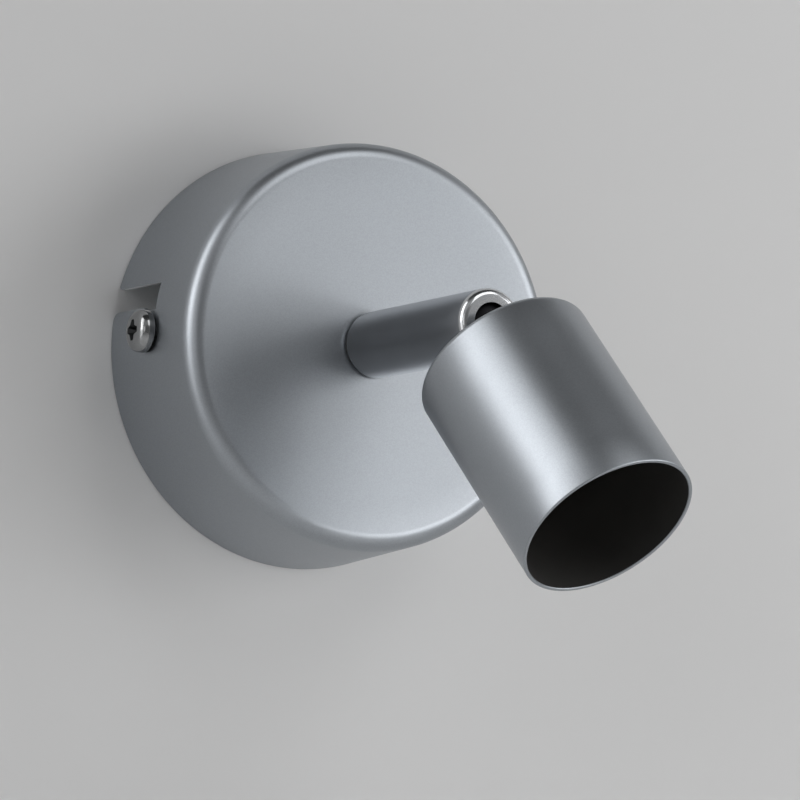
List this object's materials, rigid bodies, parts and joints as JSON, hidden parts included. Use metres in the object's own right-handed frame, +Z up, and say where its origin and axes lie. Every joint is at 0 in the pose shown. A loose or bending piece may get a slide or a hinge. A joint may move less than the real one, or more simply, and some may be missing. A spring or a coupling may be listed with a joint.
{
  "type": "pivoting spotlight wall light",
  "caption": "Wall spotlight with a shallow round rose, a short straight arm that swivels, and an open cylindrical lamp head tilting on a ball joint.",
  "frame": {"origin": "on the wall plane, at the centre of the rose and midway between the bracket's two screw slots", "axes": "+Z up, +Y into the wall, +X to the right of someone facing the light; the wall is the plane y = 0"},
  "size_m": [0.085, 0.1139, 0.0886],
  "materials": {
    "silver_paint": "satin silver metallic lacquer",
    "satin_nickel": "satin nickel plate",
    "nickel_screw": "bright nickel plate",
    "zinc_steel": "bright zinc plate",
    "spring_steel": "oiled spring steel",
    "black_steel": "blackened, low gloss",
    "black_nylon": "matt black nylon",
    "white_nylon": "white nylon",
    "ceramic": "unglazed steatite",
    "brass": "turned brass",
    "tinned_copper": "tinned copper",
    "brown_lead": "brown lead insulation",
    "blue_lead": "blue lead insulation",
    "green_yellow_lead": "green and yellow lead insulation"
  },
  "bodies": {
    "base": {"wall_bracket": "zinc_steel", "rose_cup": "silver_paint", "rose_side_screws": "nickel_screw", "stop_pin": "zinc_steel", "friction_washer": "black_nylon", "terminal_block": "white_nylon", "terminal_sleeves": "brass", "terminal_screws": "zinc_steel", "block_screws": "zinc_steel", "earth_stud": "zinc_steel", "earth_washer": "zinc_steel", "earth_eyelet": "tinned_copper", "earth_nut": "zinc_steel", "rose_live_lead": "brown_lead", "rose_neutral_lead": "blue_lead", "rose_earth_lead": "green_yellow_lead"},
    "arm": {"swivel_nipple": "zinc_steel", "nipple_nut": "zinc_steel", "disc_spring": "spring_steel", "stop_washer": "zinc_steel", "foot_washer": "black_nylon", "arm_tube": "satin_nickel", "ball_seat": "black_nylon", "pressure_spring": "spring_steel", "arm_live_lead": "brown_lead", "arm_neutral_lead": "blue_lead"},
    "head": {"ball_stem": "black_steel", "head_cup": "silver_paint", "holder_yoke": "zinc_steel", "head_lock_washer": "zinc_steel", "head_nut": "zinc_steel", "lampholder": "ceramic", "pin_contacts": "tinned_copper", "holder_screws": "zinc_steel", "head_live_lead": "brown_lead", "head_neutral_lead": "blue_lead"}
  },
  "joints": [
    {"name": "arm_swivel", "type": "hinge", "parent": "base", "child": "arm", "pos_m": [0, 0, 0], "axis": [0, -1, 0], "range_deg": [-179.6, 150.4]},
    {"name": "head_tilt", "type": "hinge", "parent": "arm", "child": "head", "pos_m": [0, -0.0695, 0], "axis": [0.9677, 0, 0.2521], "range_deg": [-51, 39]}
  ]
}
